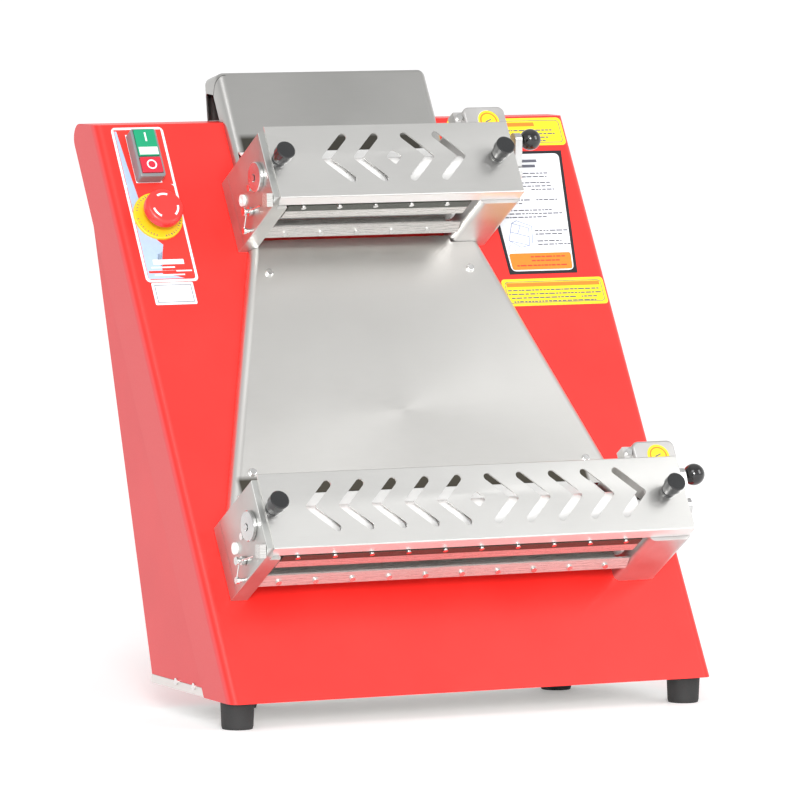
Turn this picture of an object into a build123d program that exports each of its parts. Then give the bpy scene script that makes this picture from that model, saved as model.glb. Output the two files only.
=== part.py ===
from build123d import *
from math import atan2, cos, degrees, hypot, radians, sin
import os

os.makedirs("parts", exist_ok=True)

# Two-stage dough sheeter, millimetres. X runs across the machine, Y to the back, Z up.
# The working face leans back; on it, x is across, s is up the slope and n stands out of it.

# Driving dimensions
WIDTH = 530.0             # body across
FACE_ANGLE = 58.5         # slope of the face from the floor
FACE_LEN = 645.0          # face along the slope
FOOT_H = 27.0             # floor to the foot of the face
Y_FRONT = -175.75         # foot of the face, with the origin under the middle of the machine
COVER_DEPTH = 55.7        # side flanges of the front cover
SHEET = 1.5
ROLLER_R = 20.0

COS_F = cos(radians(FACE_ANGLE))
SIN_F = sin(radians(FACE_ANGLE))
HALF_W = WIDTH / 2
TOP_Z = FOOT_H + FACE_LEN * SIN_F
SLOPE = Axis((0, 0, 0), (0, COS_F, SIN_F))
OUT = Axis((0, 0, 0), (0, -SIN_F, COS_F))

# Roller heads: two end pieces hold a rear roller and a front roller in front of it
PLATE_T = 18.0            # left end plate
HOUSING_W = 46.3          # right gear housing
HEAD_LEN = 79.7           # end plate along the slope
HOUSING_LEN = 104.3
HEAD_OUT = 105.8          # end pieces stand out of the face
GUARD_OUT = 107.6         # outer face of the guard
GUARD_S = 4.1             # its lower edge, above the foot of the head
LIP_N = 91.9              # its lower lip reaches back to here
REAR_S, REAR_N = 38.5, 39.0                   # rear roller axis from the foot of its head
LEVER_S, LEVER_N = 41.5, 80.75                # eccentric axle and gap lever axis
ECCENTRIC = 2.5
LEVER_MID = 20.0          # lever angle from the slope line at the middle of its range
LEVER_ARM = 32.5
DISC_R = 25.0
SHAFT_R = 6.0
JOURNAL_R = 10.0
AXLE_R = 7.0
LEVER_SHAFT_R = 4.0
BUSH_R = 9.0
HUB_R = 11.0
RUNNING = 0.05            # radial clearance of a shaft in its bore
ROD_S, ROD_N, ROD_R = 8.6, 97.0, 2.6          # front scraper rod
BAR_S, BAR_N, PIN_R = 5.0, 27.5, 2.5          # rear scraper pivot
SCREW_PITCH = 39.8
KNOB_BORE_R = 3.1

# Gears and belts
TEETH = 16
TIP_R = 21.7
ROOT_R = 18.5
GEAR_X = 7.0              # from the inner side of the housing
GEAR_W = 9.5
PULLEY_X = 24.0
PULLEY_W = 13.0
PULLEY_R = 15.0
BELT_T = 2.3
LOOSE = 0.3
DRIVE_S, DRIVE_N = 127.5, -68.4
LAY_S, LAY_N = 515.0, -33.0
LAY_X = 143.0             # long belt pulleys

# Controls on the face
CONTROL_X = -220.0
ESTOP_S = 538.6
BEZEL = (-234.0, -206.0, 578.0, 632.7)        # x0, x1, s0, s1


def face(n=0.0):
    """Plane parallel to the face at height n: local x across, local y up the slope."""
    origin = (0, Y_FRONT - n * SIN_F, FOOT_H + n * COS_F)
    return Plane(origin=origin, x_dir=(1, 0, 0), z_dir=(0, -SIN_F, COS_F))


def side(x):
    """Plane across the machine at x: local x up the slope, local y out of the face."""
    return Plane(origin=(x, Y_FRONT, FOOT_H), x_dir=(0, COS_F, SIN_F), z_dir=(1, 0, 0))


def write(built, label):
    built.part.label = label
    export_step(built.part, "parts/" + label + ".step")


def prism(x0, x1, outline, mode=Mode.ADD):
    """Prism with a side outline of (s, n) points, from x0 to x1."""
    with BuildSketch(side(x0)) as profile:
        with BuildLine():
            Polyline(*outline, close=True)
        make_face()
    extrude(profile.sketch, amount=x1 - x0, mode=mode)


def rod(x0, x1, centre, radius, mode=Mode.ADD):
    """Round bar along X at centre (s, n)."""
    with BuildSketch(side(x0)) as profile:
        with Locations(centre):
            Circle(radius)
    extrude(profile.sketch, amount=x1 - x0, mode=mode)


def block(x0, x1, s0, s1, n0, n1, mode=Mode.ADD):
    """Block square to the face."""
    prism(x0, x1, [(s0, n0), (s1, n0), (s1, n1), (s0, n1)], mode)


def post(n0, n1, points, radius, mode=Mode.ADD):
    """Round posts standing on the face at (x, s) points."""
    with BuildSketch(face(n0)) as profile:
        with Locations(*points):
            Circle(radius)
    extrude(profile.sketch, amount=n1 - n0, mode=mode)


def plate_on_face(n0, n1, outline, mode=Mode.ADD):
    """Flat plate on the face with an outline of (x, s) points."""
    with BuildSketch(face(n0)) as profile:
        with BuildLine():
            Polyline(*outline, close=True)
        make_face()
    extrude(profile.sketch, amount=n1 - n0, mode=mode)


class Head:
    """One roller head: where it stands on the face and how its gap lever is set."""

    def __init__(self, name, left, right, foot, roller_end, lever_deg, screws, chevrons):
        self.name = name
        self.left = left
        self.inner_left = left + PLATE_T
        self.right = right
        self.inner_right = right - HOUSING_W
        self.foot = foot
        self.roller_start = self.inner_left + 4.2
        self.roller_end = roller_end
        self.lever_deg = lever_deg
        self.chevrons = chevrons
        swing = radians(lever_deg - LEVER_MID)
        self.rear = (foot + REAR_S, REAR_N)
        self.lever = (foot + LEVER_S, LEVER_N)
        self.front = (self.lever[0] - ECCENTRIC * cos(swing), LEVER_N - ECCENTRIC * sin(swing))
        self.guard_left = left + 7.0
        self.guard_right = right - 2.2
        self.knobs = {"left": left + 13.7, "right": right - 22.0}
        self.knob_s = foot + 46.1
        self.gear = self.inner_right + GEAR_X
        self.pulley = self.inner_right + PULLEY_X
        self.screw_x = [self.roller_start + 16.5 + SCREW_PITCH * i for i in range(screws)]


UPPER = Head("upper", -141.2, 138.3, 495.7, 84.0, 35.0, 5, 2)
LOWER = Head("lower", -239.3, 229.5, 111.2, 176.0, 11.0, 10, 5)
HEADS = (UPPER, LOWER)

# Body

RISE = COVER_DEPTH * COS_F / SIN_F            # a level edge climbs this much across the flange


def front_cover():
    bend = 10.0
    skin = SHEET / SIN_F
    deep = 2 * COVER_DEPTH
    with BuildPart() as inside:
        prism(-HALF_W + SHEET, HALF_W - SHEET,
              [(-skin - 1, -SHEET), (FACE_LEN - skin, -SHEET),
               (FACE_LEN - skin + (deep - SHEET) * COS_F / SIN_F, -deep), (0, -deep)])
        fillet(inside.edges().filter_by(SLOPE).group_by(OUT)[-1], bend - SHEET)
    with BuildPart() as cover:
        prism(-HALF_W, HALF_W, [(0, 0), (FACE_LEN, 0), (FACE_LEN + RISE, -COVER_DEPTH),
                                (RISE, -COVER_DEPTH)])
        fillet(cover.edges().filter_by(SLOPE).group_by(OUT)[-1], bend)
        fillet(cover.edges().filter_by(Axis.X).sort_by(Axis.Y)[-1], 15.0)
        add(inside.part, mode=Mode.SUBTRACT)
        for head, s0, s1 in ((UPPER, 504.2, 544.0), (LOWER, 121.0, 162.0)):
            block(head.pulley - 1, head.pulley + PULLEY_W + 1, s0, s1, -4, 1, Mode.SUBTRACT)
        post(-4, 1, [(CONTROL_X, ESTOP_S)], 11.2, Mode.SUBTRACT)
        block(-231.5, -208.5, 582.0, 629.0, -4, 1, Mode.SUBTRACT)
    write(cover, "front_cover")


BASE_H = 8.5              # sides of the base frame stand this high
SIDE_SCREWS = [(Y_FRONT + 92, 35.0), (Y_FRONT + 135.5, 35.0)]


def side_screw_holes(half):
    for direction in (-1, 1):
        plane = Plane(origin=(direction * half, 0, 0), x_dir=(0, 1, 0), z_dir=(direction, 0, 0))
        with BuildSketch(plane) as holes:
            with Locations(*[(y, z * plane.y_dir.Z) for y, z in SIDE_SCREWS]):
                Circle(1.5)
        extrude(holes.sketch, amount=-1.2, mode=Mode.SUBTRACT)


def rear_casing():
    """Painted shell behind the cover: two sides and a leaning back, open below and in front."""
    half = HALF_W - SHEET - 0.3
    gauge = 1.2
    outer = [(27.5, -44.0), (106.8, -168.7), (603.0, -53.9), (652.3, -53.9), (663.0, -46.5),
             (663.0, -44.0)]
    with BuildPart() as inside:
        prism(-half + gauge, half - gauge,
              [(20.0, -30.0), (99.6, -187.3), (107.6, -167.3), (602.8, -52.7), (651.9, -52.7),
               (670.0, -40.2), (670.0, -30.0)])
    with BuildPart() as casing:
        prism(-half, half, outer)
        lengthwise = casing.edges().filter_by(Axis.X, reverse=True).sort_by(SortBy.LENGTH)
        fillet(lengthwise[-4:-2], 5.0)
        add(inside.part, mode=Mode.SUBTRACT)
        with BuildSketch(Plane.XY.offset(FOOT_H - 1)):
            with Locations((0, Y_FRONT + 120)):
                Rectangle(WIDTH, 300)
        extrude(amount=BASE_H + LOOSE + 1, mode=Mode.SUBTRACT)
        side_screw_holes(half)
        # louvre slots low in the leaning back panel
        for k in range(8):
            x = -105.0 + 30.0 * k
            prism(x - 4, x + 4, [(150, -175), (210, -160), (210, -130), (150, -145)], Mode.SUBTRACT)
    write(casing, "rear_casing")


def base_frame():
    half = HALF_W - SHEET - LOOSE
    front = Y_FRONT + 8.0
    rear = Y_FRONT + 199.4
    middle = (front + rear) / 2
    with BuildPart() as frame:
        with BuildSketch(Plane.XY.offset(FOOT_H)):
            with Locations((0, middle)):
                Rectangle(2 * half, rear - front)
        extrude(amount=2.5)
        with BuildSketch(Plane.XY.offset(FOOT_H + 2.5)):
            with Locations((-half + 1, middle + 2), (half - 1, middle + 2)):
                Rectangle(2, rear - front - 4)
            with Locations((0, rear - 1)):
                Rectangle(2 * half, 2)
        extrude(amount=BASE_H - 2.5)
        side_screw_holes(half)
        # cradle under the gear motor
        with BuildSketch(Plane.XY.offset(FOOT_H + 2.5)):
            with Locations((-100, Y_FRONT + 125), (20, Y_FRONT + 125)):
                Rectangle(16, 90)
        extrude(amount=24)
        with BuildSketch(Plane.YZ.offset(-120)) as seat:
            with Locations((Y_FRONT + MOTOR_Y, MOTOR_Z)):
                Circle(MOTOR_R + LOOSE)
        extrude(seat.sketch, amount=160, mode=Mode.SUBTRACT)
    write(frame, "base_frame")


FEET = [(-245.6, 28.2), (245.6, 28.2), (-176.0, 175.0), (176.0, 175.0)]


def rubber_feet():
    with BuildPart() as feet:
        for x, y in FEET:
            with BuildSketch(Plane.XY.offset(0)) as tread:
                with Locations((x, Y_FRONT + y)):
                    Circle(15.0)
            with BuildSketch(Plane.XY.offset(3)) as above_tread:
                with Locations((x, Y_FRONT + y)):
                    Circle(15.8)
            with BuildSketch(Plane.XY.offset(FOOT_H)) as top:
                with Locations((x, Y_FRONT + y)):
                    Circle(16.8)
            loft([tread.sketch, above_tread.sketch, top.sketch], ruled=True)
    write(feet, "rubber_feet")


SLIDE_H = 10.5            # slide plate and chute stand off the cover by this much
SLIDE_BEND = 9.5
SLIDE_SCREWS = [(-117.8, 466.2), (106.5, 464.8), (-188.3, 244.8), (180.7, 244.1)]


def slide_plate():
    """Apron that spreads from the upper head down to the lower one, with a ramp to its mouth."""
    middle = -2.3
    top_s, foot_s = 503.0, 193.0
    top_half = 125.4
    low_half = top_half + 0.3176 * (top_s - foot_s)
    ramp_s = 219.2
    ramp_left = LOWER.inner_left + 10.5
    ramp_right = LOWER.inner_right - 4.0
    with BuildPart() as inside:
        plate_on_face(-1, SLIDE_H - SHEET,
                      [(middle - top_half + SHEET, top_s + 1), (middle + top_half - SHEET, top_s + 1),
                       (middle + low_half - SHEET, foot_s - 1), (middle - low_half + SHEET, foot_s - 1)])
        edges = inside.edges().group_by(OUT)[-1].sort_by(Axis.X)
        fillet([edges[0], edges[-1]], SLIDE_BEND - SHEET)
    with BuildPart() as slide:
        plate_on_face(LOOSE, SLIDE_H,
                      [(middle - top_half, top_s), (middle + top_half, top_s),
                       (middle + low_half, foot_s), (middle - low_half, foot_s)])
        edges = slide.edges().group_by(OUT)[-1].sort_by(Axis.X)
        fillet([edges[0], edges[-1]], SLIDE_BEND)
        add(inside.part, mode=Mode.SUBTRACT)
        for x0, x1 in ((-160, UPPER.inner_left + LOOSE), (UPPER.inner_right - LOOSE, 160)):
            block(x0, x1, UPPER.foot - LOOSE, top_s + 1, -1, SLIDE_H + 1, Mode.SUBTRACT)
        block(ramp_left, ramp_right, foot_s - 5, ramp_s, -1, SLIDE_H + 1, Mode.SUBTRACT)
        block(ramp_right - 0.1, 240, foot_s - 5, LOWER.foot + HOUSING_LEN + 1.2, -1, SLIDE_H + 1,
              Mode.SUBTRACT)
        prism(ramp_left, ramp_right, [(ramp_s + 1, SLIDE_H), (LOWER.foot + 61.5, 53.5),
                                      (LOWER.foot + 60.4, 52.4), (ramp_s, SLIDE_H - SHEET)])
        post(SLIDE_H - 3, SLIDE_H + 1, SLIDE_SCREWS, 2.0, Mode.SUBTRACT)
    write(slide, "slide_plate")


def upper_chute():
    """Feed chute at the top: a ramp to the upper mouth and a rim folded over the back."""
    left, right = -123.5, 114.5
    foot_s = 577.5
    ramp_s = 604.2
    ramp_left = UPPER.inner_left + 4.0
    ramp_right = UPPER.inner_right - 4.0
    with BuildPart() as inside:
        prism(left + SHEET, right - SHEET,
              [(foot_s - 1, SLIDE_H - SHEET), (695.9, SLIDE_H - SHEET), (706.6, -21.9), (665.0, -39.6),
               (655.0, -60.0), (foot_s - 1, -60.0)])
        fillet(inside.edges().filter_by(Axis.X).sort_by(Axis.Z)[-2:], 3.5)
        front = inside.faces().filter_by(OUT).sort_by(OUT)[-1]
        fillet(front.edges().filter_by(SLOPE), SLIDE_BEND - SHEET)
    with BuildPart() as chute:
        prism(left, right, [(foot_s, LOOSE), (645.3, LOOSE), (669.0, -39.4), (708.5, -22.6),
                            (697.3, SLIDE_H), (foot_s, SLIDE_H)])
        fillet(chute.edges().filter_by(Axis.X).sort_by(Axis.Z)[-2:], 5.0)
        front = chute.faces().filter_by(OUT).sort_by(OUT)[-1]
        fillet(front.edges().filter_by(SLOPE), SLIDE_BEND)
        add(inside.part, mode=Mode.SUBTRACT)
        # the left side is open between the front fold and the rear skirt
        prism(left - 1, left + 4, [(640.0, -6.0), (680.5, -6.0), (689.5, -19.0), (689.0, -23.0),
                                   (663.0, -33.5), (640.0, -30.0)], Mode.SUBTRACT)
        # seam where the front fold meets the ear of the rim
        prism(left - 1, left + 10.8, [(695.6, SLIDE_H + 1), (680.3, -6.5), (679.4, -5.9),
                                      (694.7, SLIDE_H + 1)], Mode.SUBTRACT)
        block(ramp_left, ramp_right, foot_s - 5, ramp_s, -1, SLIDE_H + 1, Mode.SUBTRACT)
        block(ramp_right - 0.1, right + 1, foot_s - 5, UPPER.foot + HOUSING_LEN + 1.2, -1,
              SLIDE_H + 1, Mode.SUBTRACT)
        prism(ramp_left, ramp_right, [(ramp_s + 1, SLIDE_H), (UPPER.foot + 61.5, 53.5),
                                      (UPPER.foot + 60.4, 52.4), (ramp_s, SLIDE_H - SHEET)])
    write(chute, "upper_chute")


def casing_screws():
    """Pan-head screws: slide plate, sides and back of the rear casing, end plates."""
    with BuildPart() as screws:
        post(SLIDE_H, SLIDE_H + 2.4, SLIDE_SCREWS, 4.4)
        post(0.0, SLIDE_H, SLIDE_SCREWS, 2.0)
        fillet(screws.edges().filter_by(GeomType.CIRCLE).group_by(OUT)[-1], 1.6)
        half = HALF_W - SHEET - 0.3
        for direction in (-1, 1):
            plane = Plane(origin=(direction * half, 0, 0), x_dir=(0, 1, 0), z_dir=(direction, 0, 0))
            points = [(y, z * plane.y_dir.Z) for y, z in SIDE_SCREWS]
            with BuildSketch(plane) as heads:
                with Locations(*points):
                    Circle(3.6)
            extrude(heads.sketch, amount=1.6)
            with BuildSketch(plane) as shanks:
                with Locations(*points):
                    Circle(1.5)
            extrude(shanks.sketch, amount=-1.2)
        for head in HEADS:
            rod(head.left - 2.6, head.left, (head.foot + 41, 60.5), 3.6)
            rod(head.left, head.left + 10, (head.foot + 41, 60.5), 1.8)
            post(100.0, 102.6, [(head.inner_right - 3.8, head.foot + 94.5)], 3.4)
            post(92.0, 100.0, [(head.inner_right - 3.8, head.foot + 94.5)], 1.6)
    write(screws, "casing_screws")


def label_plates():
    """Thin printed plates: control panel, small plate, instructions, two notices, round marks."""
    thick = 0.3
    with BuildPart() as labels:
        with BuildSketch(face()) as round_cornered:
            with Locations((-220.0, 553.2)):
                RectangleRounded(57.0, 176.4, 5.0)
            with Locations((-221.4, 451.7)):
                RectangleRounded(45.2, 24.9, 1.5)
            with Locations((193.5, 626.7)):
                RectangleRounded(131.0, 32.5, 5.0)
            with Locations((201.0, 440.0)):
                RectangleRounded(116.0, 31.0, 4.0)
            with Locations((CONTROL_X, ESTOP_S)):
                Circle(11.6, mode=Mode.SUBTRACT)
            with Locations((CONTROL_X, 605.5)):
                Rectangle(23.5, 47.5, mode=Mode.SUBTRACT)
        extrude(round_cornered.sketch, amount=thick)
        plate_on_face(0, thick, [(155, 604), (250.5, 604), (232.5, 461), (155, 461)])
        for head in HEADS:
            post(HEAD_OUT, HEAD_OUT + 0.2, [(head.right - 20.6, head.foot + 87.3)], 12.0)
    write(labels, "label_plates")


# Controls

def switch_bezel():
    x0, x1, s0, s1 = BEZEL
    with BuildPart() as bezel:
        block(x0, x1, s0, s1, 0.3, 14.0)
        fillet(bezel.edges().filter_by(OUT), 3.0)
        fillet(bezel.faces().sort_by(OUT)[-1].edges(), 1.2)
        block(-230.8, -209.2, 583.0, 628.0, -30.0, 0.3)
        block(-231.6, -208.4, 600.4, 631.2, 9.0, 15.0, Mode.SUBTRACT)
        block(-231.6, -208.4, 581.4, 599.6, 9.0, 15.0, Mode.SUBTRACT)
        for s in (615.8, 590.5):
            block(-222.0, -218.0, s - 2, s + 2, -8.0, 9.5, Mode.SUBTRACT)
    write(bezel, "switch_bezel")


def push_button(label, s0, s1, stem_s):
    with BuildPart() as button:
        block(-231.3, -208.7, s0, s1, 10.6 + 2.0, 16.0)
        fillet(button.edges().filter_by(OUT), 1.5)
        fillet(button.faces().sort_by(OUT)[-1].edges(), 0.8)
        block(-221.7, -218.3, stem_s - 1.7, stem_s + 1.7, -3.0, 12.6)
    write(button, label)


def estop_ring():
    with BuildPart() as ring:
        post(0.3, 3.5, [(CONTROL_X, ESTOP_S)], 26.2)
        fillet(ring.faces().sort_by(OUT)[-1].edges(), 1.2)
        post(-28.0, 0.3, [(CONTROL_X, ESTOP_S)], 11.0)
        post(-20.0, 4.0, [(CONTROL_X, ESTOP_S)], 7.3, Mode.SUBTRACT)
    write(ring, "estop_ring")


def estop_stem():
    with BuildPart() as stem:
        post(-12.0, 9.0, [(CONTROL_X, ESTOP_S)], 7.0)
    write(stem, "estop_stem")


def estop_button():
    with BuildPart() as button:
        post(9.0, 15.0, [(CONTROL_X, ESTOP_S)], 14.5)
        post(15.0, 24.5, [(CONTROL_X, ESTOP_S)], 20.0)
        edges = button.edges().filter_by(GeomType.CIRCLE).group_by(OUT)
        fillet(edges[-1], 4.0)
    write(button, "estop_button")


# Drive inside the body

MOTOR_R = 58.0
MOTOR_Y = DRIVE_S * COS_F - DRIVE_N * SIN_F
MOTOR_Z = FOOT_H + DRIVE_S * SIN_F + DRIVE_N * COS_F


def motor():
    centre = (DRIVE_S, DRIVE_N)
    with BuildPart() as body:
        rod(-170.0, 30.0, centre, MOTOR_R - 6)
        rod(-170.0, -140.0, centre, MOTOR_R - 2)
        rod(12.0, 30.0, centre, MOTOR_R - 2)
        # cooling fins around the stator
        for k in range(24):
            angle = radians(15 * k)
            s = DRIVE_S + (MOTOR_R - 4) * cos(angle)
            n = DRIVE_N + (MOTOR_R - 4) * sin(angle)
            with BuildSketch(side(-138.0)) as fin:
                with Locations(Location((s, n, 0), (0, 0, 15 * k))):
                    Rectangle(8.0, 2.4)
            extrude(fin.sketch, amount=148)
    write(body, "motor")


def gearbox():
    centre = (DRIVE_S, DRIVE_N)
    with BuildPart() as box:
        rod(30.0, 92.0, centre, 44.0)
        fillet(box.faces().sort_by(Axis.X)[-1].edges(), 6.0)
        rod(92.0, 98.0, centre, 20.0)
        rod(60.0, 99.0, centre, SHAFT_R + 1 + RUNNING, Mode.SUBTRACT)
    write(box, "gearbox")


def grooved_pulley(x, centre):
    """Belt pulley with flanges, standing on the axis at centre."""
    rod(x, x + PULLEY_W, centre, PULLEY_R)
    rod(x, x + 1.2, centre, PULLEY_R + 2.6)
    rod(x + PULLEY_W - 1.2, x + PULLEY_W, centre, PULLEY_R + 2.6)


def drive_shaft():
    centre = (DRIVE_S, DRIVE_N)
    with BuildPart() as shaft:
        rod(62.0, LOWER.pulley + PULLEY_W + 6, centre, SHAFT_R + 1)
        grooved_pulley(LAY_X, centre)
        grooved_pulley(LOWER.pulley, centre)
    write(shaft, "drive_shaft")


def layshaft():
    centre = (LAY_S, LAY_N)
    with BuildPart() as shaft:
        rod(104.2, 168.0, centre, SHAFT_R)
        grooved_pulley(UPPER.pulley, centre)
        grooved_pulley(LAY_X, centre)
    write(shaft, "layshaft")


def layshaft_bracket():
    with BuildPart() as bracket:
        for x0, x1 in ((103.9, 108.9), (162.5, 167.5)):
            block(x0, x1, LAY_S - 13, LAY_S + 13, -46.0, -SHEET)
        block(103.9, 167.5, LAY_S + 28, LAY_S + 34, -5.0, -SHEET)
        block(103.9, 108.9, LAY_S, LAY_S + 34, -8.0, -SHEET)
        block(162.5, 167.5, LAY_S, LAY_S + 34, -8.0, -SHEET)
        rod(103.0, 169.0, (LAY_S, LAY_N), SHAFT_R + RUNNING, Mode.SUBTRACT)
    write(bracket, "layshaft_bracket")


def belt(label, x, start, end):
    """Belt loop around two equal pulleys, a little proud of their rims."""
    inner = PULLEY_R + LOOSE
    span = hypot(end[0] - start[0], end[1] - start[1])
    turn = degrees(atan2(end[1] - start[1], end[0] - start[0]))
    middle = ((start[0] + end[0]) / 2, (start[1] + end[1]) / 2)
    with BuildPart() as loop:
        with BuildSketch(side(x + 1.5)) as profile:
            with Locations(Location((*middle, 0), (0, 0, turn))):
                SlotCenterToCenter(span, 2 * (inner + BELT_T))
                SlotCenterToCenter(span, 2 * inner, mode=Mode.SUBTRACT)
        extrude(profile.sketch, amount=PULLEY_W - 3)
    write(loop, label)


def control_box():
    with BuildPart() as box:
        block(-236.0, -150.0, 300.0, 400.0, -62.0, -SHEET)
        fillet(box.edges().filter_by(OUT), 4.0)
    write(box, "control_box")


def cable_gland():
    with BuildPart() as gland:
        heel = Vector(0, Y_FRONT + 199.7, FOOT_H + 2.9)
        lean = Vector(0, 161.3, 483.1).normalized()
        centre = Vector(-180.0, 0, 0) + heel + lean * 55
        outward = Plane(origin=centre, x_dir=(1, 0, 0), z_dir=(0, lean.Z, -lean.Y))
        with BuildSketch(outward) as nut:
            RegularPolygon(11.0, 6)
        extrude(nut.sketch, amount=7)
        with BuildSketch(outward.offset(7)) as dome:
            Circle(8.5)
        extrude(dome.sketch, amount=8)
        fillet(gland.edges().filter_by(GeomType.CIRCLE).sort_by(Axis.Y)[-1], 2.0)
        with BuildSketch(outward.offset(16)) as passage:
            Circle(4.0)
        extrude(passage.sketch, amount=-17, mode=Mode.SUBTRACT)
    write(gland, "cable_gland")


# Roller heads

def lip_notch(head, x0, x1):
    """Corner left free for the lip along the foot of the guard."""
    block(x0, x1, head.foot - 1, head.foot + GUARD_S + SHEET + LOOSE, LIP_N - 0.4, HEAD_OUT + 1,
          Mode.SUBTRACT)


def left_end_plate(head):
    foot = head.foot
    with BuildPart() as plate:
        prism(head.left, head.inner_left, [(foot, 0), (foot + HEAD_LEN, 0), (foot + HEAD_LEN, HEAD_OUT),
                                           (foot + 6, HEAD_OUT), (foot, HEAD_OUT - 6)])
        outer = plate.faces().sort_by(Axis.X)[0]
        chamfer(outer.edges(), 0.8)
        lip_notch(head, head.guard_left - LOOSE, head.inner_left + 1)
        # joint line of the mounting foot
        block(head.left - 1, head.left + 0.5, foot - 1, foot + HEAD_LEN + 1, 17.0, 17.6, Mode.SUBTRACT)
        rod(head.left - 1, head.inner_left + 1, head.rear, SHAFT_R + RUNNING, Mode.SUBTRACT)
        rod(head.left - 1, head.inner_left + 1, head.lever, JOURNAL_R + RUNNING, Mode.SUBTRACT)
        rod(head.left - 1, head.inner_left + 1, (foot + ROD_S, ROD_N), ROD_R + RUNNING, Mode.SUBTRACT)
        rod(head.inner_left - 8, head.inner_left + 1, (foot + BAR_S, BAR_N), PIN_R + RUNNING,
            Mode.SUBTRACT)
        rod(head.left - 1, head.left + 10, (foot + 41, 60.5), 1.8, Mode.SUBTRACT)
        for s, n, radius in ((foot + 19, 52.0, 2.5), (foot + 5, 37.0, 2.0)):
            rod(head.left - 1, head.left + 6, (s, n), radius, Mode.SUBTRACT)
        post(93.0, HEAD_OUT + 1, [(head.knobs["left"], head.knob_s)], KNOB_BORE_R, Mode.SUBTRACT)
    write(plate, head.name + "_left_end_plate")


def gear_housing(head):
    foot = head.foot
    x0, x1 = head.inner_right, head.right
    wall = 5.0
    with BuildPart() as inside:
        block(x0 + wall, x1 - wall, foot + 7, foot + HOUSING_LEN - 8, -1, HEAD_OUT - 1.7)
        fillet(inside.edges().filter_by(OUT), 3.0)
    with BuildPart() as housing:
        block(x0, x1, foot, foot + HOUSING_LEN, 0, HEAD_OUT)
        fillet(housing.edges().filter_by(OUT), 7.0)
        fillet(housing.faces().sort_by(OUT)[-1].edges(), 2.5)
        # lug with the guard switch screw
        block(x0 - 9, x0 + 2, foot + 88, foot + 101, 86, 100)
        add(inside.part, mode=Mode.SUBTRACT)
        lip_notch(head, x0 - 1, x1 + 1)
        block(x0 + 20.1, x0 + 28.5, head.knob_s - 4.2, head.knob_s + 4.2, 92.0, HEAD_OUT - 1)
        post(93.0, HEAD_OUT + 1, [(head.knobs["right"], head.knob_s)], KNOB_BORE_R, Mode.SUBTRACT)
        post(91.0, 101.0, [(x0 - 3.8, foot + 94.5)], 1.6, Mode.SUBTRACT)
        rod(x0 - 1, x0 + wall + 1, (foot + LEVER_S - ECCENTRIC, LEVER_N), HUB_R + 2.6, Mode.SUBTRACT)
        rod(x0 - 1, x0 + wall + 1, head.rear, SHAFT_R + RUNNING, Mode.SUBTRACT)
        rod(x1 - wall - 1, x1 - 2, head.rear, SHAFT_R + RUNNING, Mode.SUBTRACT)
        rod(x1 - wall - 1, x1 + 1, head.lever, LEVER_SHAFT_R + RUNNING, Mode.SUBTRACT)
        rod(x0 - 1, x0 + 4, (foot + ROD_S, ROD_N), ROD_R + RUNNING, Mode.SUBTRACT)
        rod(x0 - 1, x0 + 4, (foot + BAR_S, BAR_N), PIN_R + RUNNING, Mode.SUBTRACT)
    write(housing, head.name + "_gear_housing")


def rear_roller(head):
    x0, x1 = head.roller_start, head.roller_end
    with BuildPart() as roller:
        rod(x0, x1, head.rear, ROLLER_R)
        rod(x0 - 3.4, x0, head.rear, DISC_R)
        rod(x1, x1 + 3.4, head.rear, DISC_R)
        chamfer(roller.edges().filter_by(GeomType.CIRCLE).group_by(SortBy.RADIUS)[-1], 0.5)
        rod(head.left - 2.4, x0, head.rear, SHAFT_R)
        rod(x1, head.right - 2.3, head.rear, SHAFT_R)
        with BuildSketch(side(head.left - 2.4)) as socket:
            with Locations(head.rear):
                RegularPolygon(3.2, 6)
        extrude(socket.sketch, amount=3.5, mode=Mode.SUBTRACT)
    write(roller, head.name + "_rear_roller")


def front_roller(head):
    with BuildPart() as roller:
        rod(head.roller_start + 0.4, head.roller_end - 0.4, head.front, ROLLER_R)
        chamfer(roller.edges().filter_by(GeomType.CIRCLE), 0.6)
        rod(head.roller_end - 0.4, head.gear + GEAR_W + 0.4, head.front, HUB_R)
        rod(head.roller_start - 1, head.gear + GEAR_W + 1, head.front, BUSH_R + RUNNING, Mode.SUBTRACT)
    write(roller, head.name + "_front_roller")


def front_bushes(head):
    with BuildPart() as bushes:
        for x in (head.roller_start + 0.6, head.gear + GEAR_W - 16.0):
            rod(x, x + 16, head.front, BUSH_R)
        for x in (head.roller_start + 0.6, head.gear + GEAR_W - 16.0):
            rod(x - 1, x + 17, head.front, AXLE_R + 0.6, Mode.SUBTRACT)
    write(bushes, head.name + "_front_bushes")


def gap_axle(head):
    """Eccentric axle: journals on the lever axis, with the roller's stretch set off from them."""
    s, n = head.lever
    with BuildPart() as axle:
        rod(head.left - 4.4, head.left - 0.4, (s + 0.4, n + 1.6), 15.2)
        chamfer(axle.faces().sort_by(Axis.X)[0].edges(), 0.8)
        rod(head.left - 0.5, head.inner_left, head.lever, JOURNAL_R)
        rod(head.inner_left, head.gear + GEAR_W + 3, head.front, AXLE_R)
        rod(head.gear + GEAR_W + 3, head.right + 13.0, head.lever, LEVER_SHAFT_R)
        with BuildSketch(side(head.left - 4.4)) as slot:
            with Locations(head.lever):
                Circle(4.2)
        extrude(slot.sketch, amount=1.6, mode=Mode.SUBTRACT)
        with BuildSketch(side(head.left - 2.8)) as screw:
            with Locations(head.lever):
                Circle(3.0)
        extrude(screw.sketch, amount=-2.2)
    write(axle, head.name + "_gap_axle")


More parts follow.
